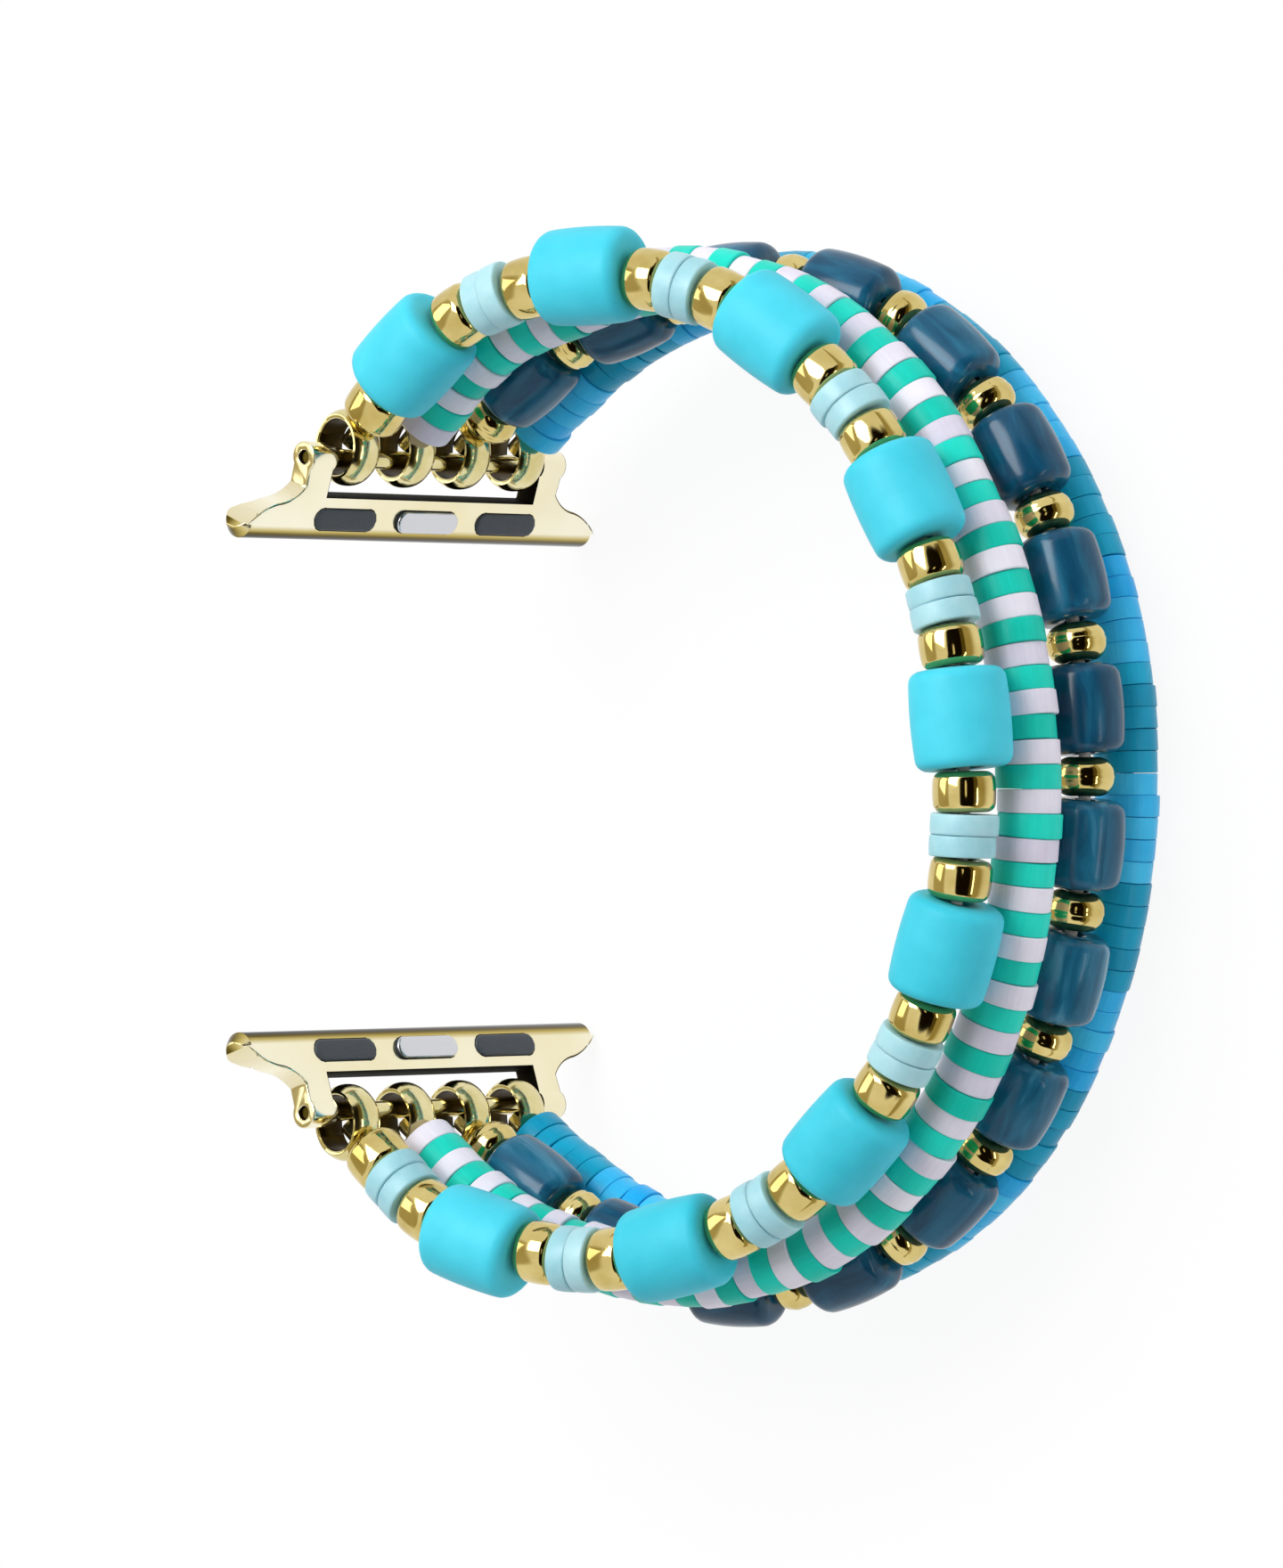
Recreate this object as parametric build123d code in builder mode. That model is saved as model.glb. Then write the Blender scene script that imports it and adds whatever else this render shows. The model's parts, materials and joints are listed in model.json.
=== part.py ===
"""A bead watch band: four elastic strands of beads, and at each end a metal
adapter that slides into the band slot of a watch case.

The band lies on its side. +Y runs from the lower adapter to the upper one, +X
from the watch opening to the far side of the loop, +Z along the spring bars.
Strand 1 is on top and strand 4 at the bottom. The origin is the middle of the
band's footprint, on the surface that it lies on. Lengths are in millimetres.
"""

import os
from math import cos, hypot, radians, sin

from build123d import *

os.makedirs("parts", exist_ok=True)

# The loop
loop_reach = 43.0
loop_half_height = 29.8
bar_half_gap = 18.9
strand_count = 4
strand_clearance = 0.07
strand_droop = 6.0
lead_run = 9.3
upper_lead_angles = (45.0, 41.0, 38.0, 38.0)
lower_lead_angles = (39.0, 36.0, 33.0, 33.0)
bead_clearance = 0.05
cord_diameter = 0.8

# Adapter
foot_length = 30.0
foot_reach = 5.0
rail_diameter = 2.1
arm_thickness = 1.4
arm_lean = 18.0
ear_width = 2.1
ear_radius = 0.9
slot_floor = 2.2
foot_end_chamfer = 0.55
pin_hole_diameter = 0.8

# Pads and latch
insert_length = 5.1
insert_height = 1.35
insert_spacing = 6.8
insert_drop = 3.52
pad_depth = 0.6
pad_proud = 0.12
pad_play = 0.02
latch_thickness = 0.75
latch_proud = 0.25
latch_pocket = 1.1
latch_clearance = 0.04
leaf_length = 4.2
leaf_width = 0.9
leaf_thickness = 0.12

# Spring bar
bar_diameter = 1.1
bar_wall = 0.13
bar_end_play = 0.2
bar_lip = 0.12
tip_diameter = 0.68
tip_collar_length = 2.4
tip_recess = 0.3
tip_play = 0.03
coil_wall = 0.16

# Strand rings
ring_width = 2.1
ring_end_gap = 0.6
ring_outer = (3.9, 4.5)
ring_bore = (2.8, 3.3)
ring_rise = 0.65
ring_chamfer = 0.35
ring_cord_hole = 1.0
crimp_diameter = 1.2
crimp_length = 0.85
crimp_offset = 0.68

# Beads
bead_bore = 1.8
barrel_diameter = 5.6
barrel_length = 5.46
barrel_edge = 0.6
spacer_diameter = 3.5
spacer_length = 2.15
spacer_edge = 0.6
pale_diameter = 3.8
pale_length = 2.36
heishi_diameter = 3.66
heishi_length = 1.12
slate_diameter = 4.8
slate_length = 4.92
slate_edge = 0.45
rondelle_diameter = 3.5
rondelle_length = 2.1
rondelle_edge = 0.62
blue_stack_length = 5.42

# Counts
barrel_count = 9
heishi_count = 91
slate_count = 16
stack_count = 20
bead_sides = 8
bore_sides = 4
cord_sides = 4
ring_sides = 12
bar_sides = 12

overrun = 3.0

# Each arc of a strand's route takes up this share of the shorter run beside it
arc_share = 0.45

# Outline of the adapter, from the side of an ear to the end of the foot, as
# shares of the flare beyond the ear and of the reach from the bar to the foot's edge
flare_shares = [(-0.035, 0.32), (0.09, 0.42), (0.43, 0.53), (0.77, 0.66), (1.0, 0.86)]

# The gaps between a strand's beads, as a share of its narrower beads' width over
# the radius of the tightest bend: what keeps the beads apart there
crowding_shares = [0.262, 0.71, 0.3, 0.385]

# Corners of each strand's route, as shares of the reach and of the half height
route_shares = [
    [(0.398, 0.993), (0.636, 0.911), (0.816, 0.683), (0.932, 0.372), (0.971, 0.05),
     (0.956, -0.275), (0.836, -0.605), (0.662, -0.819), (0.434, -0.919)],
    [(0.447, 0.99), (0.666, 0.902), (0.83, 0.685), (0.944, 0.382), (0.991, 0.044),
     (0.963, -0.317), (0.863, -0.627), (0.679, -0.878), (0.447, -0.959)],
    [(0.432, 0.983), (0.674, 0.931), (0.86, 0.698), (0.967, 0.372), (0.995, 0.009),
     (0.958, -0.373), (0.845, -0.682), (0.664, -0.91), (0.431, -0.987)],
    [(0.427, 1.0), (0.65, 0.914), (0.822, 0.685), (0.941, 0.374), (0.978, 0.016),
     (0.943, -0.32), (0.839, -0.637), (0.668, -0.872), (0.447, -0.968)],
]

# Places that follow from the sizes above
mid_height = foot_length / 2
lean = radians(arm_lean)
front_normal = Vector(cos(lean), -sin(lean), 0)
section_plane = Plane(origin=(0, bar_half_gap, 0), x_dir=front_normal, z_dir=(0, 0, 1))
face_plane = Plane(origin=(0, bar_half_gap, mid_height), x_dir=(0, 0, 1), z_dir=front_normal)
front_face = arm_thickness / 2
strand_widths = [barrel_diameter, heishi_diameter, slate_diameter, heishi_diameter]
strand_pitch = max(map(sum, zip(strand_widths, strand_widths[1:]))) / 2 + strand_clearance
slot_width = (strand_count - 1) * strand_pitch + ring_width + 2 * ring_end_gap
ear_span = slot_width + 2 * ear_width
ring_centre_y = bar_half_gap + ring_rise
strand_heights = [
    mid_height + strand_pitch * ((strand_count - 1) / 2 - strand) for strand in range(strand_count)
]
pieces = {}


def keep(name, part):
    """Label a finished piece and keep it for export."""
    part.label = name
    pieces[name] = part


# Route of a strand


def droop_at(reach_share):
    """The drop of a strand towards the table, none at the rings."""
    return strand_droop * reach_share**2 * (3 - 2 * reach_share)


def lead_corners(strand, side, lead_angle):
    """The crimp inside a ring and the first corner outside it."""
    height = strand_heights[strand]
    towards = Vector(cos(radians(lead_angle)), side * sin(radians(lead_angle)), 0)
    start = Vector(0, side * ring_centre_y, height) + towards * crimp_offset
    return [start, start + towards * lead_run]


def route_corners(strand):
    """Corners of a strand's route, from the crimp in the upper ring to the lower one."""
    height = strand_heights[strand]
    far = [
        Vector(x * loop_reach, y * loop_half_height, height - droop_at(x))
        for x, y in route_shares[strand]
    ]
    upper = lead_corners(strand, 1, upper_lead_angles[strand])
    lower = lead_corners(strand, -1, lower_lead_angles[strand])
    return upper + far + lower[::-1]


def route_radii(corners):
    """The largest arc that fits each corner of a route."""
    radii = []
    for before, corner, after in zip(corners, corners[1:], corners[2:]):
        arriving = corner - before
        leaving = after - corner
        half_turn = radians(arriving.get_angle(leaving)) / 2
        shorter = min(arriving.length, leaving.length)
        radii.append(arc_share * shorter * cos(half_turn) / sin(half_turn))
    return radii


def strand_route(strand):
    """The centre line of a strand: straight runs joined by tangent arcs."""
    corners = route_corners(strand)
    with BuildLine() as route:
        FilletPolyline(*corners, radius=route_radii(corners))
    return route.wire()


routes = [strand_route(strand) for strand in range(strand_count)]


def place_along(route, distance):
    """A plane square to the route, its x axis pointing away from the wrist."""
    tangent = route.tangent_at(distance / route.length)
    outward = Vector(0, 0, 1).cross(tangent).normalized()
    return Plane(origin=route.position_at(distance / route.length), x_dir=outward, z_dir=tangent)


def ring_reach(lead_angle):
    """How far the ring stands out in front of its crimp, along the strand."""
    across = ring_outer[0] * cos(radians(lead_angle))
    along = ring_outer[1] * sin(radians(lead_angle))
    return hypot(across, along) / 2 - crimp_offset + bead_clearance


def places_on_strand(strand, lengths, width):
    """One place for each bead of a strand, and the scale that fits their lengths to it.

    The lengths share out the room between the rings, less what the tightest
    bend needs between beads of this width.
    """
    route = routes[strand]
    reached = ring_reach(upper_lead_angles[strand])
    room = route.length - reached - ring_reach(lower_lead_angles[strand])
    stretch = room / sum(lengths)
    places = []
    for length in lengths:
        places.append(place_along(route, reached + stretch * length / 2))
        reached += stretch * length
    tightest = min(route_radii(route_corners(strand)))
    fill = 1 - crowding_shares[strand] * width / tightest
    print(f"strand {strand + 1}: {len(lengths)} beads fill {fill:.3f} of {room:.1f} mm,")
    print(f"at {fill * stretch:.3f} of their lengths, with bends down to {tightest:.1f} mm")
    return places, fill * stretch


# Beads


def make_bead(diameter, length, edge=0):
    """A bead with few sides and a square bore, centred on its own axis."""
    with BuildPart() as bead:
        with BuildSketch():
            RegularPolygon(diameter / 2, bead_sides)
            RegularPolygon(bead_bore / 2, bore_sides, rotation=180 / bore_sides, mode=Mode.SUBTRACT)
        extrude(amount=length / 2, both=True)
        if edge:
            rims = bead.edges().filter_by(GeomType.LINE).group_by(SortBy.DISTANCE)[-1]
            chamfer(rims, edge)
    return bead.part


def string_beads(name, bead, places):
    """Copies of one bead at its places on a strand, as one group."""
    with BuildPart() as group:
        with Locations(*places):
            add(bead)
    keep(name, group.part)


# Strand 1: turquoise barrels, with a pair of pale discs between gold spacers
unit = [spacer_length, pale_length, spacer_length, barrel_length]
unit_names = ["spacer", "pale", "spacer", "barrel"]
strand_1_lengths = [spacer_length, barrel_length] + unit * (barrel_count - 1) + unit[:3]
strand_1_names = ["spacer", "barrel"] + unit_names * (barrel_count - 1) + unit_names[:3]
strand_1_places, fit = places_on_strand(0, strand_1_lengths, spacer_diameter)
barrel_bead = make_bead(barrel_diameter, barrel_length * fit, barrel_edge)
spacer_bead = make_bead(spacer_diameter, spacer_length * fit, spacer_edge)
pale_bead = make_bead(pale_diameter, pale_length * fit)


def places_named(name):
    """The places of one kind of bead on strand 1."""
    return [place for kind, place in zip(strand_1_names, strand_1_places) if kind == name]


string_beads("turquoise_barrels", barrel_bead, places_named("barrel"))
string_beads("strand_1_spacers", spacer_bead, places_named("spacer"))
string_beads("pale_disc_pairs", pale_bead, places_named("pale"))

# Strand 2: white and mint discs in turn, white at both ends
strand_2_places, fit = places_on_strand(1, [heishi_length] * heishi_count, heishi_diameter)
heishi_bead = make_bead(heishi_diameter, heishi_length * fit)
string_beads("white_discs", heishi_bead, strand_2_places[0::2])
string_beads("mint_discs", heishi_bead, strand_2_places[1::2])

# Strand 3: slate barrels between gold rondelles
slate_lengths = [rondelle_length, slate_length] * slate_count + [rondelle_length]
strand_3_places, fit = places_on_strand(2, slate_lengths, rondelle_diameter)
slate_bead = make_bead(slate_diameter, slate_length * fit, slate_edge)
rondelle_bead = make_bead(rondelle_diameter, rondelle_length * fit, rondelle_edge)
string_beads("strand_3_rondelles", rondelle_bead, strand_3_places[0::2])
string_beads("slate_barrels", slate_bead, strand_3_places[1::2])

# Strand 4: stacks of blue discs, each stack of one blue
strand_4_places, fit = places_on_strand(3, [blue_stack_length] * stack_count, heishi_diameter)
stack_bead = make_bead(heishi_diameter, blue_stack_length * fit)
string_beads("azure_disc_stacks", stack_bead, strand_4_places[0::2])
string_beads("deep_blue_disc_stacks", stack_bead, strand_4_places[1::2])


# Elastic cords, crimps and rings

for strand, route in enumerate(routes):
    with BuildPart() as cord:
        with BuildSketch(place_along(route, 0)):
            RegularPolygon(cord_diameter / 2, cord_sides)
        sweep(path=route)
    section = cord_sides / 2 * (cord_diameter / 2) ** 2 * sin(radians(360 / cord_sides))
    print(f"cord {strand + 1}: {route.length:.2f} mm long, volume {cord.part.volume:.3f},")
    print(f"section times length {section * route.length:.3f}")
    print("radii:", [round(radius, 1) for radius in route_radii(route_corners(strand))])
    keep(f"strand_{strand + 1}_cord", cord.part)


def oval_corners(size):
    """Corners of a many-sided oval that lies within the given width and height."""
    turns = [radians(360 * corner / ring_sides) for corner in range(ring_sides)]
    return [(size[0] / 2 * cos(turn), size[1] / 2 * sin(turn)) for turn in turns]


def make_ring(side, height, lead_angle):
    """One end ring, upright on the bar, with a hole for the cord."""
    ring_plane = Plane(origin=(0, side * ring_centre_y, height))
    with BuildPart() as ring:
        with BuildSketch(ring_plane):
            Polygon(*oval_corners(ring_outer))
        extrude(amount=ring_width / 2, both=True)
        chamfer(ring.edges().filter_by(Axis.Z, reverse=True), ring_chamfer)
        with BuildSketch(ring_plane):
            Polygon(*oval_corners(ring_bore))
        extrude(amount=ring_width, both=True, mode=Mode.SUBTRACT)
        towards = (cos(radians(lead_angle)), side * sin(radians(lead_angle)), 0)
        with BuildSketch(Plane(origin=ring_plane.origin, x_dir=(0, 0, 1), z_dir=towards)):
            RegularPolygon(ring_cord_hole / 2, cord_sides)
        extrude(amount=ring_outer[1], mode=Mode.SUBTRACT)
    return ring.part


def make_crimp(side, height, lead_angle):
    """The crimp that stops the cord inside a ring."""
    towards = Vector(cos(radians(lead_angle)), side * sin(radians(lead_angle)), 0)
    centre = Vector(0, side * ring_centre_y, height) + towards * crimp_offset
    with BuildPart() as crimp:
        with BuildSketch(Plane(origin=centre, x_dir=(0, 0, 1), z_dir=towards)):
            RegularPolygon(crimp_diameter / 2, bead_sides)
            RegularPolygon(cord_diameter / 2, cord_sides, mode=Mode.SUBTRACT)
        extrude(amount=crimp_length / 2, both=True)
    return crimp.part


for end, side, lead_angles in (("upper", 1, upper_lead_angles), ("lower", -1, lower_lead_angles)):
    for strand, lead_angle in enumerate(lead_angles):
        keep(f"{end}_ring_{strand + 1}", make_ring(side, strand_heights[strand], lead_angle))
        keep(f"{end}_crimp_{strand + 1}", make_crimp(side, strand_heights[strand], lead_angle))


# Adapter frame


def insert_sketch(across, depth, play=0):
    """The oblong outline of a recess in the foot, or of what sits in it with some play."""
    with BuildSketch(face_plane.offset(depth), mode=Mode.PRIVATE) as oblong:
        height = insert_height - 2 * play
        half_run = (insert_length - insert_height) / 2
        with Locations((across, insert_drop)):
            Rectangle(2 * half_run, height)
        with Locations((across - half_run, insert_drop), (across + half_run, insert_drop)):
            RegularPolygon(height / 2, bar_sides, major_radius=False)
    return oblong.sketch


with BuildPart() as upper_adapter:
    rail_radius = rail_diameter / 2
    rail_drop = foot_reach - rail_radius
    with BuildSketch(section_plane):
        with Locations((front_face - rail_radius, -rail_drop)):
            Circle(rail_radius)
    extrude(amount=foot_length)
    chamfer(upper_adapter.edges().filter_by(GeomType.CIRCLE), foot_end_chamfer)
    with BuildSketch(section_plane):
        Circle(ear_radius)
        with Locations((0, -rail_drop / 2)):
            Rectangle(arm_thickness, rail_drop)
    extrude(amount=foot_length)
    with BuildSketch(face_plane):
        with BuildLine():
            half_foot = foot_length / 2
            half_ears = ear_span / 2
            outline = [
                (half_ears + across * (half_foot - half_ears), down * foot_reach)
                for across, down in flare_shares
            ]
            ear_top = (half_ears, -ear_radius)
            Polyline((0, foot_reach), (0, -ear_radius), ear_top, outline[0])
            ThreePointArc(*outline[:3])
            ThreePointArc(*outline[2:])
            Polyline(outline[-1], (half_foot, foot_reach), (0, foot_reach))
        make_face()
        mirror(about=Plane.YZ)
    extrude(amount=overrun, both=True, mode=Mode.INTERSECT)
    with BuildSketch(face_plane):
        with Locations((0, (slot_floor - overrun) / 2)):
            Rectangle(slot_width, slot_floor + overrun)
    extrude(amount=overrun, both=True, mode=Mode.SUBTRACT)
    with BuildSketch(section_plane):
        RegularPolygon(pin_hole_diameter / 2, bar_sides)
    extrude(amount=foot_length, mode=Mode.SUBTRACT)
    for across in (-insert_spacing, insert_spacing):
        extrude(insert_sketch(across, front_face - pad_depth), overrun, mode=Mode.SUBTRACT)
    extrude(insert_sketch(0, front_face - latch_pocket), overrun, mode=Mode.SUBTRACT)


# Rubber pads that grip the slot of the watch case

def make_pad(across):
    """An oblong pad, seated in its recess and just proud of the face."""
    with BuildPart() as pad:
        extrude(insert_sketch(across, front_face - pad_depth, pad_play), pad_depth + pad_proud)
    return pad.part


# Spring latch in the middle of the foot

with BuildPart() as upper_latch:
    latch_back = front_face + latch_proud - latch_thickness
    extrude(insert_sketch(0, latch_back, latch_clearance), latch_thickness)

with BuildPart() as upper_latch_spring:
    pocket_floor = front_face - latch_pocket
    crest = latch_back - latch_clearance
    leaf_centre = face_plane.origin + face_plane.y_dir * insert_drop
    leaf_plane = Plane(origin=leaf_centre, x_dir=(0, 0, 1), z_dir=Vector(0, 0, 1).cross(front_normal))
    with BuildSketch(leaf_plane):
        with BuildLine():
            half_leaf = leaf_length / 2
            foot = pocket_floor + latch_clearance
            outer = ThreePointArc((-half_leaf, foot), (0, crest), (half_leaf, foot))
            inner = ThreePointArc(
                (leaf_thickness - half_leaf, foot),
                (0, crest - leaf_thickness),
                (half_leaf - leaf_thickness, foot),
            )
            Line(outer @ 0, inner @ 0)
            Line(outer @ 1, inner @ 1)
        make_face()
    extrude(amount=leaf_width / 2, both=True)


# Spring bar: a tube with turned-in ends that hold a sprung tip at each end

bar_length = slot_width - 2 * bar_end_play
bar_radius = bar_diameter / 2
bar_plane = Plane(origin=(0, bar_half_gap, mid_height))
collar_end = bar_length / 2 - bar_lip
collar_radius = bar_radius - bar_wall - tip_play

with BuildPart() as upper_bar_sleeve:
    with BuildSketch(bar_plane):
        Circle(bar_radius)
    extrude(amount=bar_length / 2, both=True)
    with BuildSketch(bar_plane):
        RegularPolygon(tip_diameter / 2 + tip_play, bar_sides)
    extrude(amount=bar_length, both=True, mode=Mode.SUBTRACT)
    with BuildSketch(bar_plane):
        RegularPolygon(bar_radius - bar_wall, bar_sides)
    extrude(amount=bar_length / 2 - bar_lip, both=True, mode=Mode.SUBTRACT)

with BuildPart() as upper_bar_tip_1:
    with BuildSketch(bar_plane.offset(collar_end - tip_collar_length)):
        RegularPolygon(collar_radius, bar_sides)
    extrude(amount=tip_collar_length)
    with BuildSketch(bar_plane.offset(collar_end)):
        RegularPolygon(tip_diameter / 2, bar_sides)
    extrude(amount=ear_span / 2 - tip_recess - collar_end)

with BuildPart() as upper_bar_tip_2:
    mirror(upper_bar_tip_1.part, about=bar_plane)

with BuildPart() as upper_bar_spring:
    with BuildSketch(bar_plane):
        RegularPolygon(collar_radius, bead_sides)
        RegularPolygon(collar_radius - coil_wall, bead_sides, mode=Mode.SUBTRACT)
    extrude(amount=collar_end - tip_collar_length, both=True)


# Both ends of the band carry the same pieces, mirrored

end_pieces = {
    "adapter": upper_adapter.part,
    "pad_1": make_pad(insert_spacing),
    "pad_2": make_pad(-insert_spacing),
    "latch": upper_latch.part,
    "latch_spring": upper_latch_spring.part,
    "bar_sleeve": upper_bar_sleeve.part,
    "bar_tip_1": upper_bar_tip_1.part,
    "bar_tip_2": upper_bar_tip_2.part,
    "bar_spring": upper_bar_spring.part,
}
for name, part in end_pieces.items():
    with BuildPart() as lower_piece:
        mirror(part, about=Plane.XZ)
    keep(f"upper_{name}", part)
    keep(f"lower_{name}", lower_piece.part)


# The origin is the middle of the footprint, at the height of the table

footprint = Compound(list(pieces.values())).bounding_box()
to_origin = Location((-footprint.center().X, -footprint.center().Y, -footprint.min.Z))
print("moved to the origin by", to_origin.position)
for name, part in pieces.items():
    placed = part.moved(to_origin)
    placed.label = name
    export_step(placed, f"parts/{name}.step")
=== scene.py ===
"""The looks of a bead watch band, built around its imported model.

Four strands of beads on elastic run between two rows of gold rings. The rings
hang on spring bars in two adapters, which slide into a watch case. The band
lies on its side, and all places are in the model's own frame, in metres.
"""

import json
import math
import random

import bmesh
import bpy
from mathutils import Matrix, Vector


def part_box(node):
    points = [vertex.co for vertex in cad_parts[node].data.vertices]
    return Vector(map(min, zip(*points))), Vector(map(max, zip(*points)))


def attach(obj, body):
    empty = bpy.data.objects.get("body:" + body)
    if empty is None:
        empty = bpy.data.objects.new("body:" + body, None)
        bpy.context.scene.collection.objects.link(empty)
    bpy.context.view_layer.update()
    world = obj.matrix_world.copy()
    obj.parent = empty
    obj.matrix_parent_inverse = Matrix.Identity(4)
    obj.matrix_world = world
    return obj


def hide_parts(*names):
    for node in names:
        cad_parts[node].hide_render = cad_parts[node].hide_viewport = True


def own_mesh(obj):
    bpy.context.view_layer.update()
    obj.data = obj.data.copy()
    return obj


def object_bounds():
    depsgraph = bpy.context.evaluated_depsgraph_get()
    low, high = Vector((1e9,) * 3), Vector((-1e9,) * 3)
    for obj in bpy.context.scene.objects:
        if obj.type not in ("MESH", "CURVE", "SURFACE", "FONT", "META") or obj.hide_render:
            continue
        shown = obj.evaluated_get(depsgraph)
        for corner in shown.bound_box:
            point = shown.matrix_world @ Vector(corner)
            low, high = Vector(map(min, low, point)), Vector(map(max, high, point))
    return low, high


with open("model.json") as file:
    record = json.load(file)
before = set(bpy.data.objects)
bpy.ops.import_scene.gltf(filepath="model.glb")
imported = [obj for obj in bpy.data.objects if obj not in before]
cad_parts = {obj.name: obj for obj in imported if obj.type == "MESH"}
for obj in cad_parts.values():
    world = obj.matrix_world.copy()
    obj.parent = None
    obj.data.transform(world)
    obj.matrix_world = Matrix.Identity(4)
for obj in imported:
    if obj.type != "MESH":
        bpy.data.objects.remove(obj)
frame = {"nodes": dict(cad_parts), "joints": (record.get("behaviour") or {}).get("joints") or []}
cad_low, cad_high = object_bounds()

MM = 0.001
UP = Vector((0, 0, 1))
random.seed(11)

# Camera, with the bars' places in the photograph's own pixels
image_width = 1440
image_height = 1760
focal_pixels = 10620
upper_bar_pixel = (481, 509)
lower_bar_pixel = (487, 1253)
view_tilt = math.radians(42)
camera_distance = 550 * MM
sensor_height = 36

# Beads, in millimetres: the nodes give their places, and these their forms
barrel_size = (5.62, 5.56)
spacer_size = (3.6, 2.3)
rondelle_size = (3.5, 2.22)
pale_size = (3.8, 1.19)
slate_size = (4.82, 5.04)
disc_diameter = 3.66
disc_fill_share = 0.985
pair_pitch_share = 0.505
discs_in_stack = 5
bead_bore = 1.0
bore_lip = 0.12
end_hollow = 0.06
end_hollow_share = 0.4
least_end_width = 0.3
least_side = 0.01
bend_reach = 0.4

# Elastic, in millimetres
cord_radius = 0.36
cord_sides = 12
cord_steps = 240
cord_end_share = 0.002
cord_ripple_share = 0.06
cord_ripple_turn = 1.9

# Rings, in millimetres
ring_count = 4
ring_bore = (2.8, 3.3)
ring_crown = 0.36
ring_crown_power = 2.3
ring_lip_share = 0.35
ring_lip_rise = 0.01
ring_bore_drop = 0.06
ring_sides = 80
ring_rows = 12
cord_hole_radius = 0.5
cord_hole_reach = 4
round_sides = 32

# Pads and latch, in millimetres: the foot's front face lies ahead of the latch's joint
insert_length = 5.06
insert_height = 1.31
insert_edge = 0.16
insert_edge_steps = 4
insert_dome = ((0.18, 0.012), (0.36, 0.018))
face_ahead = 0.7
pad_rise = 0.12
latch_rise = 0.25
pad_body = 0.6
latch_body = 0.75
pocket_reach = 0.5
pocket_share = 0.3

# Springs, in millimetres
coil_turns = 14
coil_turn_steps = 12
coil_radius = 0.31
coil_wire = 0.07
coil_wire_sides = 6

# Adapter, in millimetres
rail_radius = 1.05
slot_depth = 2.3
slot_side_room = 0.35
pin_bore_radius = 0.45
foot_end = 0.8
foot_end_round = 0.5
frame_edge = 0.11
bar_edge = 0.03
leaf_edge = 0.01
merge_distance = 0.0005
facing_limit = 0.5
upward_limit = 0.1
# Painted shade on the foot's end faces, as a place on the frame's shade ramp
end_shade = 0.085

# The least turns, in degrees, between faces that count as apart
flat_turn = 1
rim_turn = 30
edge_turn = 38
ring_sharp_turn = 45
frame_sharp_turn = 50

# Light
ambient_strength = 0.4
floor_glow_share = 0.92

ends = ("upper", "lower")


def srgb(code):
    """A colour in linear light from its six hexadecimal digits."""
    channels = [int(code[at:at + 2], 16) / 255 for at in (0, 2, 4)]
    linear = [c / 12.92 if c <= 0.04045 else ((c + 0.055) / 1.055) ** 2.4 for c in channels]
    return (*linear, 1)


# Materials


def new_material(name, **sockets):
    """A material with a Principled shader, its sockets set by name."""
    made = bpy.data.materials.new(name)
    made.use_nodes = True
    shader = made.node_tree.nodes["Principled BSDF"]
    for socket, value in sockets.items():
        shader.inputs[socket.replace("_", " ")].default_value = value
    return made, made.node_tree, shader


def add_node(tree, kind, settings=None, **inputs):
    """A node with its settings, and its inputs set or linked by name."""
    made = tree.nodes.new("ShaderNode" + kind)
    for setting, value in (settings or {}).items():
        setattr(made, setting, value)
    for name, value in inputs.items():
        socket = made.inputs[name.replace("_", " ")]
        if isinstance(value, bpy.types.NodeSocket):
            tree.links.new(value, socket)
        else:
            socket.default_value = value
    return made


def add_ramp(tree, factor, *stops):
    """A colour ramp through (position, colour code) stops."""
    made = add_node(tree, "ValToRGB", Fac=factor)
    elements = made.color_ramp.elements
    while len(elements) < len(stops):
        elements.new(0.5)
    for element, (position, code) in zip(elements, stops):
        element.position = position
        element.color = srgb(code)
    return made.outputs["Color"]


def bead_space(tree, stretch=(1, 1, 1)):
    """The millimetres of a bead's own frame, its axis along Z, stretched."""
    place = add_node(tree, "Attribute", {"attribute_name": "bead_space"})
    return add_node(tree, "Mapping", Vector=place.outputs["Vector"], Scale=stretch).outputs[0]


def object_space(tree, stretch=(1, 1, 1)):
    """The model's millimetres, stretched."""
    place = add_node(tree, "TexCoord").outputs["Object"]
    scale = [1000 * share for share in stretch]
    return add_node(tree, "Mapping", Vector=place, Scale=scale).outputs[0]


def add_noise(tree, place, scale, detail=3.0, distortion=0.0):
    made = add_node(
        tree, "TexNoise", Vector=place, Scale=scale, Detail=detail, Distortion=distortion,
    )
    return made.outputs["Fac"]


def mixed_values(tree, first, second, share=0.5):
    """A value between two, nearer the second with a larger share."""
    mixed = add_node(tree, "Mix", Factor=share)
    tree.links.new(first, mixed.inputs["A"])
    tree.links.new(second, mixed.inputs["B"])
    return mixed.outputs["Result"]


def add_tint(tree, noise, share):
    """A noise with each bead's own tint mixed in."""
    tint = add_node(tree, "Attribute", {"attribute_name": "tint"}).outputs["Fac"]
    return mixed_values(tree, noise, tint, share)


def add_bump(tree, shader, height, strength, distance):
    """A bump from a height, its distance in millimetres."""
    bump = add_node(tree, "Bump", Height=height, Strength=strength, Distance=distance * MM)
    tree.links.new(bump.outputs["Normal"], shader.inputs["Normal"])


def roughness_from(tree, shader, noise, low, high):
    """A roughness that wanders between two values."""
    spread = add_node(tree, "MapRange", Value=noise, To_Min=low, To_Max=high)
    tree.links.new(spread.outputs["Result"], shader.inputs["Roughness"])


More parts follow.
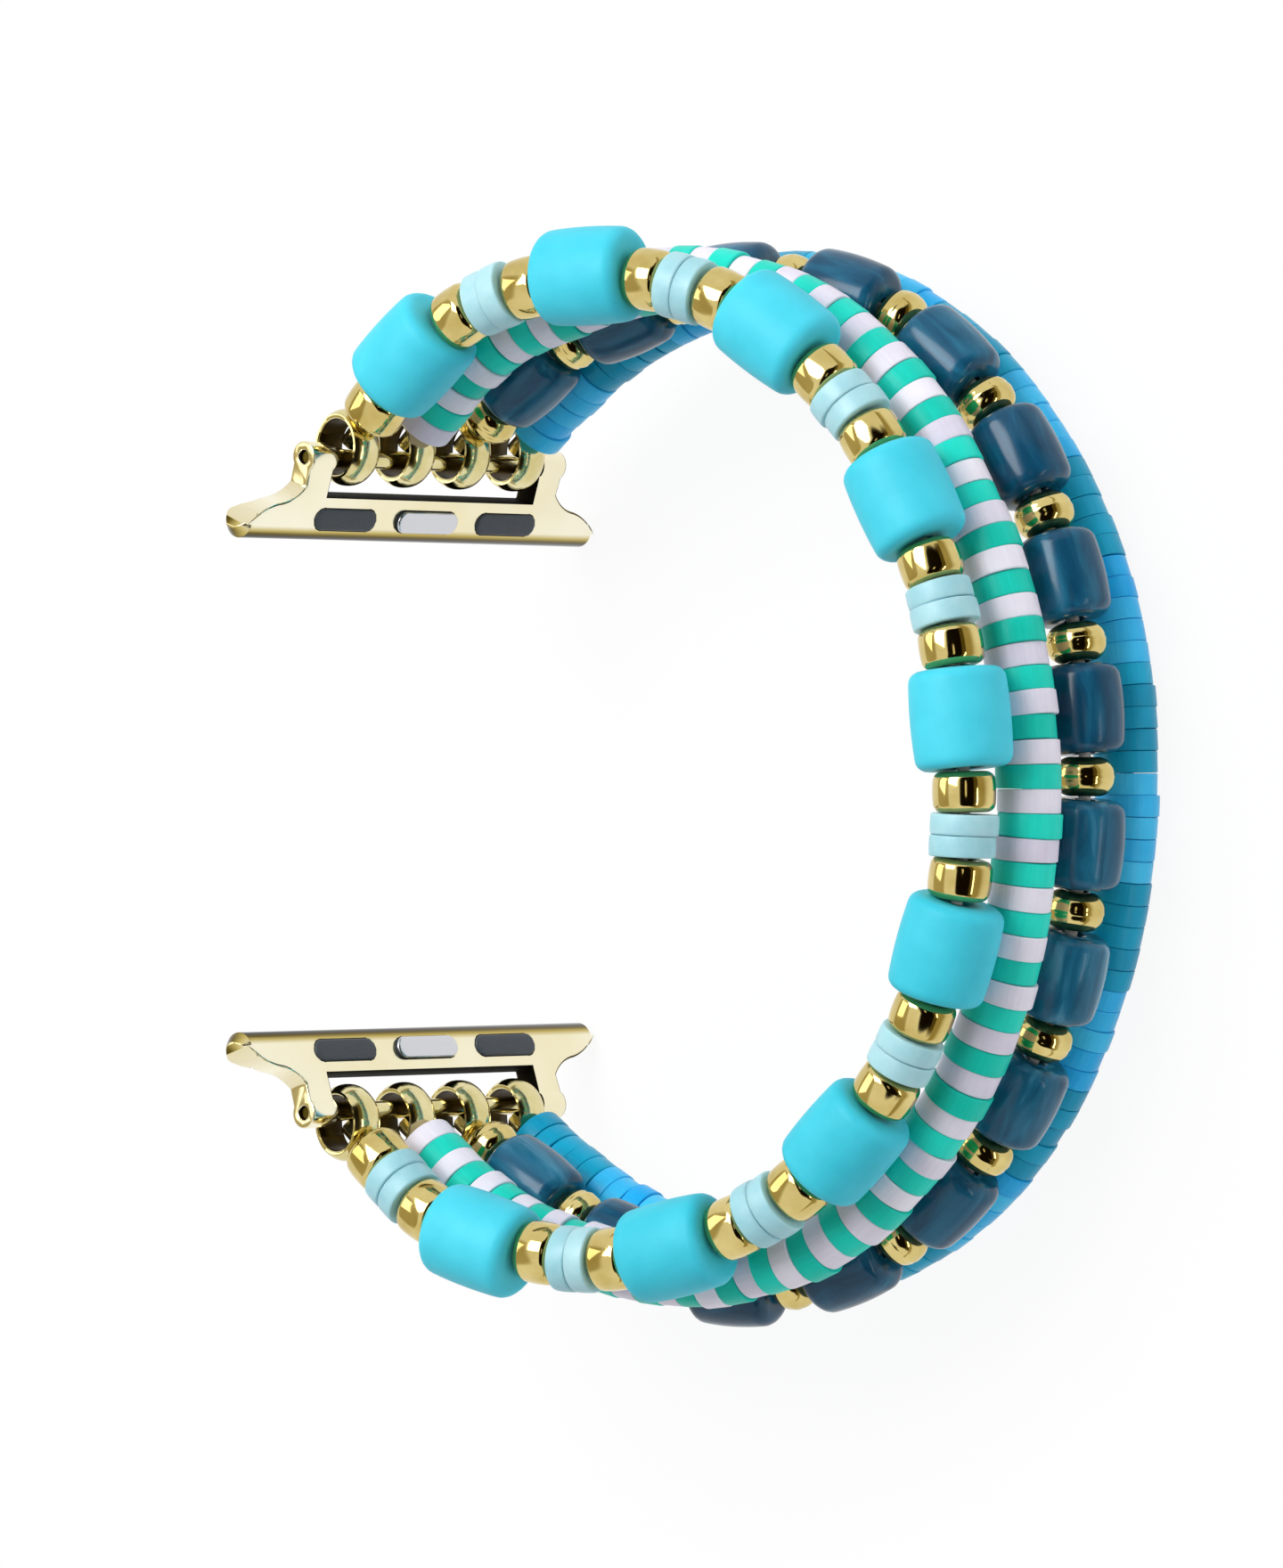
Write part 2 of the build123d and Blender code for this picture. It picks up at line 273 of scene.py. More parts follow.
def frosted_turquoise():
    made, tree, shader = new_material(
        "turquoise_stone", Subsurface_Weight=0.12, Subsurface_Scale=1.2 * MM,
        Subsurface_Radius=(0.25, 0.8, 1.0), Specular_IOR_Level=0.2,
    )
    mottle = add_noise(tree, bead_space(tree), 0.5)
    grain = add_noise(tree, bead_space(tree), 14.0)
    colour = add_ramp(tree, add_tint(tree, mottle, 0.4), (0.2, "35BDD2"), (0.8, "4CD2E8"))
    tree.links.new(colour, shader.inputs["Base Color"])
    roughness_from(tree, shader, grain, 0.42, 0.56)
    add_bump(tree, shader, grain, 0.25, 0.02)
    return made


def pale_aqua():
    made, tree, shader = new_material(
        "pale_aqua_clay", Subsurface_Weight=0.35, Subsurface_Scale=1.5 * MM,
        Subsurface_Radius=(0.7, 0.95, 1.0),
    )
    cloud = add_noise(tree, bead_space(tree), 1.1)
    grain = add_noise(tree, bead_space(tree), 9.0)
    colour = add_ramp(tree, add_tint(tree, cloud, 0.4), (0.2, "93CAD6"), (0.8, "B2DCE4"))
    tree.links.new(colour, shader.inputs["Base Color"])
    roughness_from(tree, shader, grain, 0.3, 0.5)
    add_bump(tree, shader, grain, 0.3, 0.03)
    return made


def clay(name, dark, light, gloss=0.38, specular=0.2):
    """Polymer clay discs, with fine lines across the rim where they were cut."""
    made, tree, shader = new_material(
        name, Subsurface_Weight=0.08, Subsurface_Scale=0.8 * MM,
        Subsurface_Radius=(0.8, 0.9, 1.0), Specular_IOR_Level=specular,
    )
    lines = add_noise(tree, bead_space(tree, (5.5, 5.5, 0.25)), 1.0, 2.0)
    cloud = add_noise(tree, bead_space(tree), 0.9)
    streaks = mixed_values(tree, cloud, lines)
    colour = add_ramp(tree, add_tint(tree, streaks, 0.45), (0.2, dark), (0.8, light))
    tree.links.new(colour, shader.inputs["Base Color"])
    roughness_from(tree, shader, lines, gloss - 0.08, gloss + 0.12)
    add_bump(tree, shader, lines, 0.35, 0.04)
    return made


def slate_stone():
    """Polished blue stone with soft light bands along the bead."""
    made, tree, shader = new_material(
        "slate_stone", Roughness=0.2, Specular_IOR_Level=0.26,
        Coat_Weight=0.05, Coat_Roughness=0.08,
    )
    bands = add_noise(tree, bead_space(tree, (1.0, 1.0, 0.22)), 0.9, 4.0, 0.6)
    colour = add_ramp(
        tree, add_tint(tree, bands, 0.25),
        (0.25, "08364F"), (0.45, "0F4A68"), (0.62, "1E6684"), (0.8, "5294B0"),
    )
    tree.links.new(colour, shader.inputs["Base Color"])
    return made


def gold(name, dark, light, roughness, pits=0.0, shaded=False, cloud_scale=0.6):
    """Plated gold, a little uneven, with optional casting pits.

    Where it is shaded, the mesh's shade attribute darkens and browns it, as painted shade and
    painted reflection.
    """
    made, tree, shader = new_material(name, Metallic=1.0)
    cloud = add_noise(tree, object_space(tree), cloud_scale)
    fine = add_noise(tree, object_space(tree), 3.0, 2.0)
    colour = add_ramp(tree, cloud, (0.3, dark), (0.7, light))
    if shaded:
        turn = add_node(tree, "Attribute", {"attribute_name": "shade"}).outputs["Fac"]
        # Painted shade and painted reflection: dark brown round the foot's rail edge, a little
        # darker on the end faces
        painted_shade_tone = add_ramp(
            tree, turn,
            (0.02, "FFFFFF"), (0.13, "CDBE80"), (0.22, "6E6026"), (0.31, "1C1707"),
            (0.4, "241E0A"), (0.5, "A8985C"), (0.62, "FFFFFF"),
        )
        product = add_node(tree, "VectorMath", {"operation": "MULTIPLY"})
        tree.links.new(colour, product.inputs[0])
        tree.links.new(painted_shade_tone, product.inputs[1])
        colour = product.outputs["Vector"]
    tree.links.new(colour, shader.inputs["Base Color"])
    roughness_from(tree, shader, fine, roughness, roughness + 0.06)
    if pits:
        add_bump(tree, shader, add_noise(tree, object_space(tree), 1.6, 5.0), pits, 0.05)
    return made


def dark_slot():
    """The deep slot under the rings: painted shade, dark and dull, and lighter towards its back.
    """
    made, tree, shader = new_material("slot_shade", Metallic=0.2, Specular_IOR_Level=0.05)
    grain = add_noise(tree, object_space(tree), 4.0)
    depth = add_node(tree, "Attribute", {"attribute_name": "shade"}).outputs["Fac"]
    # Grain mixed with painted shade, darker at the slot's front
    grain_and_shade = add_node(tree, "Math", {"operation": "MULTIPLY_ADD"})
    tree.links.new(grain, grain_and_shade.inputs[0])
    grain_and_shade.inputs[1].default_value = 0.2
    tree.links.new(depth, grain_and_shade.inputs[2])
    colour = add_ramp(
        tree, grain_and_shade.outputs[0], (0.3, "0B0803"), (0.7, "1C1609"), (1.0, "7A6A3A"),
    )
    tree.links.new(colour, shader.inputs["Base Color"])
    roughness_from(tree, shader, grain, 0.6, 0.8)
    add_bump(tree, shader, grain, 0.2, 0.02)
    return made


def clear_elastic():
    made, tree, shader = new_material(
        "clear_elastic", Base_Color=srgb("F4F4F0"), Roughness=0.2,
        Transmission_Weight=0.45, IOR=1.4,
    )
    threads = add_noise(tree, object_space(tree, (1, 1, 6)), 2.0)
    add_bump(tree, shader, threads, 0.5, 0.05)
    return made


def pad_rubber():
    made, tree, shader = new_material("pad_rubber", Specular_IOR_Level=0.45)
    grain = add_noise(tree, object_space(tree), 12.0)
    colour = add_ramp(tree, grain, (0.3, "3A3D43"), (0.7, "4A4E55"))
    tree.links.new(colour, shader.inputs["Base Color"])
    roughness_from(tree, shader, grain, 0.42, 0.55)
    add_bump(tree, shader, grain, 0.3, 0.02)
    return made


def brushed_steel(name, code, roughness):
    """Steel brushed along the bar's direction."""
    made, tree, shader = new_material(name, Metallic=1.0, Base_Color=srgb(code))
    lines = add_noise(tree, object_space(tree, (9, 9, 0.4)), 1.0, 2.0)
    roughness_from(tree, shader, lines, roughness - 0.05, roughness + 0.1)
    add_bump(tree, shader, lines, 0.15, 0.02)
    return made


materials = {
    "turquoise": frosted_turquoise(),
    "pale": pale_aqua(),
    "white": clay("white_clay", "D6CFE2", "F4F0FA", specular=0.3),
    "mint": clay("mint_clay", "0ABEA9", "24E2CE", specular=0.16),
    "slate": slate_stone(),
    "azure": clay("azure_clay", "0CACF4", "4CD2FF", gloss=0.3),
    "deep": clay("deep_clay", "0592B8", "14B0D8", gloss=0.3),
    "bead_gold": gold("bead_gold", "C6B068", "DBC886", 0.05),
    "ring_gold": gold("ring_gold", "D2C486", "E8DDAC", 0.11, pits=0.3),
    # The frame gold, the dark edge gold, shaded gold and the slot paint shade and reflection
    "frame_gold": gold("frame_gold", "F0E6BE", "FAF4DC", 0.12, shaded=True, cloud_scale=0.12),
    "painted_shade_gold": gold("painted_shade_gold", "42380F", "62561F", 0.3),
    "shaded_gold": gold("shaded_gold", "2A200B", "4A3A16", 0.35, pits=0.6),
    "slot": dark_slot(),
    "elastic": clear_elastic(),
    "rubber": pad_rubber(),
    "latch": brushed_steel("latch_steel", "D4D4D8", 0.22),
    "spring": brushed_steel("spring_steel", "B9B9BE", 0.25),
}


# Mesh helpers


def finish_piece(name, mesh, material, body, nodes):
    """An object for a mesh, which rides on a body and stands for its CAD nodes."""
    mesh.materials.append(materials[material])
    mesh.shade_smooth()
    piece = bpy.data.objects.new(name, mesh)
    bpy.context.scene.collection.objects.link(piece)
    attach(piece, body)
    if nodes:
        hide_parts(*nodes)
    return piece


def mesh_from(bm, name):
    """A mesh from a bmesh, with all its faces turned outwards."""
    bmesh.ops.recalc_face_normals(bm, faces=bm.faces)
    mesh = bpy.data.meshes.new(name)
    bm.to_mesh(mesh)
    bm.free()
    return mesh


def join_loops(bm, loops, closed=False):
    """The faces between each loop of vertices and the next, in a list for each loop."""
    joined = []
    for loop, following in zip(loops, loops[1:] + loops[:1] if closed else loops[1:]):
        besides = zip(loop[1:] + loop[:1], following[1:] + following[:1])
        joined.append([
            bm.faces.new((here, beside, ahead_beside, ahead))
            for (here, ahead), (beside, ahead_beside) in zip(zip(loop, following), besides)
        ])
    return joined


def close_ends(bm, loops):
    """Flat faces on a tube's first and last loop of vertices."""
    bm.faces.new(loops[0])
    bm.faces.new(loops[-1])


def rounded_profile(diameter, length, edge, crown=0.0, steps=5):
    """The outline of a bead as (radius, along) points, from bore to bore, in millimetres.

    The side swells by the crown, the edges are round, and the ends dish in at the bore.
    """
    radius = diameter / 2
    half = length / 2
    flat = half - edge
    bore = bead_bore / 2
    points = [(bore, half - end_hollow - bore_lip), (bore + bore_lip, half - end_hollow)]
    rim = radius - crown - edge
    if rim > bore + least_end_width:
        points.append(((bore + bore_lip + rim) / 2, half - end_hollow * end_hollow_share))
    for step in range(steps + 1):
        turn = math.pi / 2 * step / steps
        points.append((rim + edge * math.sin(turn), flat + edge * math.cos(turn)))
    for step in range(1, steps if crown else 1):
        along = flat * (1 - step / steps)
        points.append((radius - crown * (along / flat) ** 2, along))
    if flat > least_side:
        points.append((radius, 0))
    return points + [(r, -z) for r, z in reversed(points) if z > 0]


class Strand:
    """The line through a strand's beads, from the upper ring to the lower one."""

    def __init__(self, points):
        self.points = points
        self.reached = [0.0]
        for before, after in zip(points, points[1:]):
            self.reached.append(self.reached[-1] + (after - before).length)

    def point_at(self, distance):
        """A point on a smooth curve through the strand's points."""
        last = len(self.points) - 2
        index = max(0, min(last, sum(1 for r in self.reached[1:] if r < distance)))
        before = self.points[max(index - 1, 0)]
        a, b = self.points[index], self.points[index + 1]
        after = self.points[min(index + 2, last + 1)]
        span = self.reached[index + 1] - self.reached[index]
        share = (distance - self.reached[index]) / span
        leave = (b - before) / ((a - before).length + span) * span
        arrive = (after - a) / ((after - b).length + span) * span
        square, cube = share**2, share**3
        return (
            a * (2 * cube - 3 * square + 1) + leave * (cube - 2 * square + share)
            + b * (3 * square - 2 * cube) + arrive * (cube - square)
        )

    def place_at(self, distance):
        """A frame on the strand: X away from the wrist and Z along the strand, and the bend."""
        reach = bend_reach * MM
        centre = self.point_at(distance)
        ahead, behind = self.point_at(distance + reach), self.point_at(distance - reach)
        tangent = (ahead - behind).normalized()
        outward = UP.cross(tangent).normalized()
        across = tangent.cross(outward)
        turn = (ahead - centre).normalized() - (centre - behind).normalized()
        bend = -turn.dot(outward) / reach
        place = Matrix((outward, across, tangent)).transposed().to_4x4()
        place.translation = centre
        return place, bend


def solid_centres(node):
    """The centre of each separate solid of a CAD node."""
    bm = bmesh.new()
    bm.from_mesh(frame["nodes"][node].data)
    bmesh.ops.remove_doubles(bm, verts=bm.verts, dist=merge_distance * MM)
    reached = set()
    centres = []
    for first in bm.verts:
        if first in reached:
            continue
        group = [first]
        reached.add(first)
        for vert in group:
            for edge in vert.link_edges:
                other = edge.other_vert(vert)
                if other not in reached:
                    reached.add(other)
                    group.append(other)
        centres.append(sum((vert.co for vert in group), Vector()) / len(group))
    bm.free()
    return centres


def node_centre(node):
    low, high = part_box(node)
    return (low + high) / 2


def read_strand(number, nodes):
    """A strand's line, and the distance along it of each bead, by node."""
    found = [(centre, node) for node in nodes for centre in solid_centres(node)]
    found.sort(key=lambda bead: -math.atan2(bead[0].y, bead[0].x))
    first, last = (node_centre(f"{end}_crimp_{number}") for end in ends)
    strand = Strand([first] + [centre for centre, node in found] + [last])
    places = {node: [] for node in nodes}
    for (centre, node), distance in zip(found, strand.reached[1:]):
        places[node].append(distance)
    return strand, places


def add_bead(
    bm, strand, distance, profile, sides, shift=0.04, lean=0.01, swell=0.01, wedge=False,
):
    """One turned bead on a strand, a little out of true as real beads are.

    It is shifted in millimetres, leans in radians and swells by a share. A wedge is thinner
    on the inside of the strand's bend.
    """
    place, bend = strand.place_at(distance)
    nudge = Matrix.Translation([random.uniform(-shift, shift) * MM for axis in range(2)] + [0])
    tilt = Matrix.Rotation(random.uniform(-lean, lean), 4, (random.uniform(-1, 1), 1, 0))
    place = place @ nudge @ tilt
    grow = 1 + random.uniform(-swell, swell)
    spin = random.uniform(0, math.tau)
    origin = [random.uniform(0, 400) for axis in range(3)]
    tint = random.random()
    space = bm.verts.layers.float_vector["bead_space"]
    own_tint = bm.verts.layers.float["tint"]
    rings = []
    for r, z in profile:
        ring = []
        for side in range(sides):
            turn = math.tau * side / sides
            x, y = r * grow * math.cos(turn), r * grow * math.sin(turn)
            along = z * (1 + bend * x * MM) if wedge else z
            vert = bm.verts.new(place @ (Vector((x, y, along)) * MM))
            vert[space] = (
                origin[0] + r * math.cos(turn + spin),
                origin[1] + r * math.sin(turn + spin),
                origin[2] + z,
            )
            vert[own_tint] = tint
            ring.append(vert)
        rings.append(ring)
    join_loops(bm, rings, closed=True)


def bead_bmesh():
    bm = bmesh.new()
    bm.verts.layers.float_vector.new("bead_space")
    bm.verts.layers.float.new("tint")
    return bm


def string_beads(name, material, slot, node, strand, distances, profile, sides, **play):
    """One piece with all the beads of a kind on a strand."""
    bm = bead_bmesh()
    for distance in distances:
        add_bead(bm, strand, distance, profile, sides, **play)
    return finish_piece(name, mesh_from(bm, name), material, "strands", [node])


def make_elastic(number, strand):
    """The elastic cord inside a strand, seen in the gaps between its beads."""
    bm = bmesh.new()
    rings = []
    for step in range(cord_steps + 1):
        share = cord_end_share + (1 - 2 * cord_end_share) * step / cord_steps
        place = strand.place_at(strand.reached[-1] * share)[0]
        radius = cord_radius * (1 + cord_ripple_share * math.sin(step * cord_ripple_turn)) * MM
        rings.append([
            bm.verts.new(place @ Vector((radius * math.cos(turn), radius * math.sin(turn), 0)))
            for turn in (math.tau * side / cord_sides for side in range(cord_sides))
        ])
    join_loops(bm, rings)
    close_ends(bm, rings)
    name, node = f"strand_{number}_elastic", f"strand_{number}_cord"
    finish_piece(name, mesh_from(bm, name), "elastic", "strands", [node])


# Strands of beads

strand_1, places_1 = read_strand(
    1, ["turquoise_barrels", "strand_1_spacers", "pale_disc_pairs"],
)
string_beads(
    "barrels_turquoise", "turquoise", "turquoise", "turquoise_barrels", strand_1,
    places_1["turquoise_barrels"], rounded_profile(*barrel_size, edge=0.68, crown=0.08), 56,
)
string_beads(
    "spacers_gold", "bead_gold", "gold_beads", "strand_1_spacers", strand_1,
    places_1["strand_1_spacers"],
    rounded_profile(*spacer_size, edge=0.55, crown=0.03, steps=8), 64,
)
pair_offset = pale_size[1] * pair_pitch_share * MM
string_beads(
    "discs_pale", "pale", "pale_aqua", "pale_disc_pairs", strand_1,
    [at + way * pair_offset for at in places_1["pale_disc_pairs"] for way in (-1, 1)],
    rounded_profile(*pale_size, edge=0.12, crown=0.02), 40, shift=0.08, lean=0.02, swell=0.02,
)

strand_2, places_2 = read_strand(2, ["white_discs", "mint_discs"])
disc_gaps = sum(len(places) for places in places_2.values()) - 1
disc_pitch = (places_2["white_discs"][-1] - places_2["white_discs"][0]) / MM / disc_gaps
disc_profile = rounded_profile(disc_diameter, disc_pitch * disc_fill_share, edge=0.09)
for colour, slot in (("white", "white_shell"), ("mint", "mint")):
    node = f"{colour}_discs"
    string_beads(
        f"discs_{colour}", colour, slot, node, strand_2, places_2[node],
        disc_profile, 40, shift=0.12, lean=0.015, swell=0.03, wedge=True,
    )

strand_3, places_3 = read_strand(3, ["slate_barrels", "strand_3_rondelles"])
string_beads(
    "barrels_slate", "slate", "slate_blue", "slate_barrels", strand_3,
    places_3["slate_barrels"], rounded_profile(*slate_size, edge=0.8, crown=0.1), 52,
)
string_beads(
    "rondelles_gold", "bead_gold", "gold_beads", "strand_3_rondelles", strand_3,
    places_3["strand_3_rondelles"],
    rounded_profile(*rondelle_size, edge=0.95, crown=0.03, steps=10), 64,
)

strand_4, places_4 = read_strand(4, ["azure_disc_stacks", "deep_blue_disc_stacks"])
stack_pitch = (places_4["azure_disc_stacks"][1] - places_4["azure_disc_stacks"][0]) / 2
thin_pitch = stack_pitch / discs_in_stack
thin_profile = rounded_profile(disc_diameter, thin_pitch / MM * disc_fill_share, edge=0.08)
for colour, node, slot in (
    ("azure", "azure_disc_stacks", "azure"), ("deep", "deep_blue_disc_stacks", "deep_teal"),
):
    disc_places = [
        at + (disc - (discs_in_stack - 1) / 2) * thin_pitch
        for at in places_4[node] for disc in range(discs_in_stack)
    ]
    string_beads(
        f"discs_{colour}", colour, slot, node, strand_4, disc_places,
        thin_profile, 40, shift=0.08, lean=0.01, swell=0.02, wedge=True,
    )

for number, strand in enumerate((strand_1, strand_2, strand_3, strand_4), 1):
    make_elastic(number, strand)


# Rings


def ring_mesh(node):
    """An oval ring with a swelling outer wall, before the hole for its cord is cut."""
    low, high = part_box(node)
    centre, size = (low + high) / 2, (high - low) / MM
    half = size.z / 2
    outer = [
        (half * share, -ring_crown * abs(share) ** ring_crown_power)
        for share in (2 * step / ring_rows - 1 for step in range(ring_rows + 1))
    ]
    bm = bmesh.new()
    rings = []
    for step in range(ring_sides):
        turn = math.tau * step / ring_sides
        point = Vector((size.x / 2 * math.cos(turn), size.y / 2 * math.sin(turn), 0))
        normal = Vector((math.cos(turn) / size.x, math.sin(turn) / size.y, 0)).normalized()
        bore = Vector((ring_bore[0] / 2 * math.cos(turn), ring_bore[1] / 2 * math.sin(turn), 0))
        places = [point + normal * depth + UP * along for along, depth in outer]
        lip = normal * ((point - bore).length - ring_crown) * ring_lip_share
        rise, drop = UP * (half + ring_lip_rise), UP * (half - ring_bore_drop)
        places += [bore + lip + rise, bore + drop, bore - drop, bore + lip - rise]
        rings.append([bm.verts.new(centre + place * MM) for place in places])
    for faces in join_loops(bm, rings, closed=True):
        # The bore's inner wall takes the darker shaded gold, a painted shade
        in_bore = faces[-3]
        in_bore.material_index = 1
    return mesh_from(bm, node), centre


def cutter(centre, direction, radius, reach):
    """A round cutter from a centre outwards."""
    bm = bmesh.new()
    bmesh.ops.create_cone(
        bm, cap_ends=True, segments=round_sides,
        radius1=radius * MM, radius2=radius * MM, depth=reach * MM,
    )
    turn = direction.to_track_quat("Z", "Y").to_matrix().to_4x4()
    middle = Matrix.Translation(centre + direction * (reach / 2 * MM))
    bm.transform(middle @ turn)
    made = bpy.data.objects.new("cutter", mesh_from(bm, "cutter"))
    bpy.context.scene.collection.objects.link(made)
    return made


def applied(piece):
    """The mesh of an object with its modifiers applied, which the object then keeps."""
    graph = bpy.context.evaluated_depsgraph_get()
    mesh = bpy.data.meshes.new_from_object(piece.evaluated_get(graph))
    piece.modifiers.clear()
    piece.data = mesh
    return mesh


def make_ring(end, number):
    """One end ring, with the hole for the cord cut through its wall."""
    node = f"{end}_ring_{number}"
    mesh, centre = ring_mesh(node)
    name = f"{end}_loop_{number}"
    piece = finish_piece(name, mesh, "ring_gold", "strands", [node])
    # The second material paints shade in the bore; its pits are bumps
    mesh.materials.append(materials["shaded_gold"])
    way_out = (node_centre(f"{end}_crimp_{number}") - centre).normalized()
    tool = cutter(centre, way_out, cord_hole_radius, cord_hole_reach)
    cut = piece.modifiers.new("cut", "BOOLEAN")
    cut.object = tool
    cut.solver = "EXACT"
    mesh = applied(piece)
    bpy.data.objects.remove(tool)
    mesh.shade_smooth()
    mesh.set_sharp_from_angle(angle=math.radians(ring_sharp_turn))


for end in ends:
    for number in range(1, ring_count + 1):
        make_ring(end, number)


# Adapters


def softened_node(
    node, name, material, body, edge,
    edge_material=None, end_round=0.0, inserts=(),
):
    """A copy of a CAD node with its edges rounded, less so round its inserts.

    The rounded edges take a darker gold if one is named, as painted shade. With an end round,
    the two ends get a larger one than the rest.
    """
    bm = bmesh.new()
    bm.from_mesh(frame["nodes"][node].data)
    bmesh.ops.remove_doubles(bm, verts=bm.verts, dist=merge_distance * MM)
    bmesh.ops.dissolve_limit(
        bm, angle_limit=math.radians(flat_turn), verts=bm.verts, edges=bm.edges,
        use_dissolve_boundaries=False,
    )
    weights = bm.edges.layers.float.new("bevel_weight_edge")
    heights = [vert.co.z for vert in bm.verts]
    lowest, highest = min(heights), max(heights)

    def sharp_edges(least_turn):
        """The edges that turn by more than some degrees, in two lists: at the ends, and not."""
        bm.normal_update()
        at_ends, others = [], []
        for rim in bm.edges:
            if rim.is_manifold and rim.calc_face_angle() > math.radians(least_turn):
                depths = [min(vert.co.z - lowest, highest - vert.co.z) for vert in rim.verts]
                (at_ends if max(depths) < foot_end * MM else others).append(rim)
        return at_ends, others

    if end_round:
        at_ends, others = sharp_edges(rim_turn)
        bmesh.ops.bevel(
            bm, geom=at_ends, offset=end_round * MM, segments=4, profile=0.5,
            affect="EDGES", clamp_overlap=True,
        )
    at_ends, others = sharp_edges(edge_turn)
    reach = Vector((1, 1, 1)) * pocket_reach * MM
    pockets = [(low - reach, high + reach) for low, high in map(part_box, inserts)]
    for rim in others if end_round else at_ends + others:
        centre = (rim.verts[0].co + rim.verts[1].co) / 2
        at_pocket = any(
            all(low[axis] < centre[axis] < high[axis] for axis in range(3))
            for low, high in pockets
        )
        rim[weights] = pocket_share if at_pocket else 1
    piece = finish_piece(name, mesh_from(bm, name), material, body, [node])
    bevel = piece.modifiers.new("edges", "BEVEL")
    bevel.width = edge * MM
    bevel.segments = 3
    bevel.use_clamp_overlap = False
    bevel.limit_method = "WEIGHT"
    # A named edge material paints shade on the rounded edges
    if edge_material:
        piece.data.materials.append(materials[edge_material])
        bevel.material = 1
    mesh = applied(piece)
    mesh.shade_smooth()
    mesh.set_sharp_from_angle(angle=math.radians(frame_sharp_turn))
    return piece


def latch_press(end):
    """The joint of a latch, which moves square to its foot's front face."""
    return next(joint for joint in frame["joints"] if joint["name"] == f"{end}_latch_press")


def face_ways(end):
    """The directions out of a foot's front face and away from its bar."""
    outward = -Vector(latch_press(end)["axis"])
    down = UP.cross(outward) * (1 if end == "lower" else -1)
    return outward, down


def make_frame(end):
    """An adapter, darker in the slot under its rings and round the edge of its foot: painted
    shade and painted reflection.
    """
    piece = softened_node(
        f"{end}_adapter", f"{end}_frame", "frame_gold", f"{end}_foot", frame_edge,
        edge_material="painted_shade_gold", end_round=foot_end_round,
        inserts=(f"{end}_pad_1", f"{end}_pad_2", f"{end}_latch"),
    )
    mesh = piece.data
    outward, down = face_ways(end)
    bar = node_centre(f"{end}_bar_sleeve")
    low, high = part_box(f"{end}_bar_sleeve")
    half_slot = (high.z - low.z) / 2 + slot_side_room * MM
    slot_index = len(mesh.materials)
    mesh.materials.append(materials["slot"])
    half_foot = max(abs(vert.co.z - bar.z) for vert in mesh.vertices)
    for face in mesh.polygons:
        away = face.center - bar
        in_slot = abs(away.z) < half_slot and away.dot(down) < slot_depth * MM
        near_bar = Vector((away.x, away.y)).length < pin_bore_radius * MM
        in_bore = near_bar and abs(face.normal.z) < facing_limit
        # The slot and the pin bores take painted shade; bevels facing down keep the darker gold
        # of painted shade, the rest take plain gold
        if in_bore or in_slot and face.normal.dot(down) < facing_limit:
            face.material_index = slot_index
        elif abs(away.z) > half_foot - foot_end * MM or face.normal.z > upward_limit:
            face.material_index = 0
    # The shade attribute paints a dark reflection round the rail's edge, painted shade on the
    # end faces, and painted shade in the slot that lightens towards its back
    shade = mesh.attributes.new("shade", "FLOAT", "CORNER")
    foot = max((vert.co - bar).dot(down) for vert in mesh.vertices)
    reaches = [(vert.co - bar).dot(outward) for vert in mesh.vertices]
    front, back = max(reaches), min(reaches)
    for face in mesh.polygons:
        endwise = abs(face.normal.z)
        for corner in face.loop_indices:
            away = mesh.vertices[mesh.loops[corner].vertex_index].co - bar
            if face.material_index == slot_index:
                shade.data[corner].value = (front - away.dot(outward)) / (front - back)
                continue
            below = away.dot(down) - foot + rail_radius * MM
            ahead = away.dot(outward) - front + rail_radius * MM
            turn = math.atan2(below, ahead) / math.pi if below > 0 else 0
            shade.data[corner].value = turn * (1 - endwise) + end_shade * endwise


def make_insert(end, node, name, material, body, rise, depth):
    """A round-ended pad or latch in the foot, its face gently domed and its sides dark: dark
    rubber, which on the latch is painted shade.
    """
    outward, down = face_ways(end)
    place = Vector(latch_press(end)["pos_m"])
    place.z = node_centre(node).z
    half_run = (insert_length - insert_height) / 2
    radius = insert_height / 2
    rows = [(0, rise - depth)]
    for step in range(insert_edge_steps + 1):
        turn = math.pi / 2 * step / insert_edge_steps
        inset, sunk = insert_edge * (1 - math.cos(turn)), insert_edge * (1 - math.sin(turn))
        rows.append((inset, rise - sunk))
    rows += [(insert_edge + inward, rise + raised) for inward, raised in insert_dome]
    bm = bmesh.new()
    loops = []
    for inset, height in rows:
        loop = []
        for step in range(round_sides):
            turn = math.tau * (step + 0.5) / round_sides
            end_shift = half_run if math.cos(turn) > 0 else -half_run
            along = end_shift + (radius - inset) * math.cos(turn)
            drop = (radius - inset) * math.sin(turn)
            spot = UP * along + down * drop + outward * (face_ahead + height)
            loop.append(bm.verts.new(place + spot * MM))
        loops.append(loop)
    # The sides take dark rubber: on the latch this paints the shade of the gap round it
    for faces in join_loops(bm, loops)[:2]:
        for face in faces:
            face.material_index = 1
    close_ends(bm, loops)
    mesh = mesh_from(bm, name)
    finish_piece(name, mesh, material, body, [node])
    mesh.materials.append(materials["rubber"])


